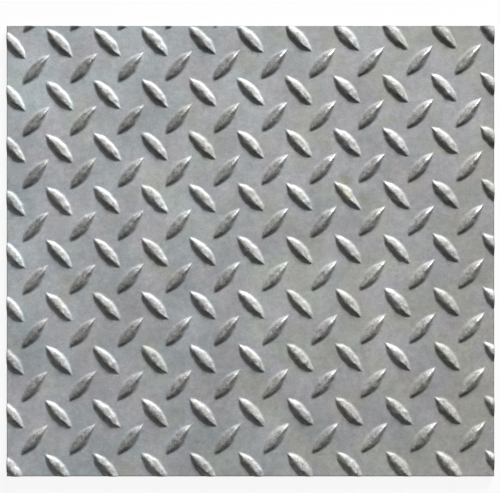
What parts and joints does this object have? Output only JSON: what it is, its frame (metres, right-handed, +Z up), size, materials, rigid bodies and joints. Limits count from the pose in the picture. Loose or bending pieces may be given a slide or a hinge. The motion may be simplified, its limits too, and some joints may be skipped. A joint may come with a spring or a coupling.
{
  "type": "checker plate",
  "caption": "Cut piece of hot rolled checker steel plate, flat below, with raised pointed lugs in crossing diagonal rows on top.",
  "frame": {"origin": "middle of the flat underside, which rests on the floor", "axes": "+Z up through the thickness, towards the lugs; +X along the longer side; +Y along the shorter side"},
  "size_m": [0.33, 0.305, 0.0065],
  "materials": {
    "mill_steel": "as rolled, light grey satin, with faint mottling and lug tops rubbed smoother"
  },
  "bodies": {
    "root": {"checker_plate": "mill_steel"}
  },
  "joints": []
}
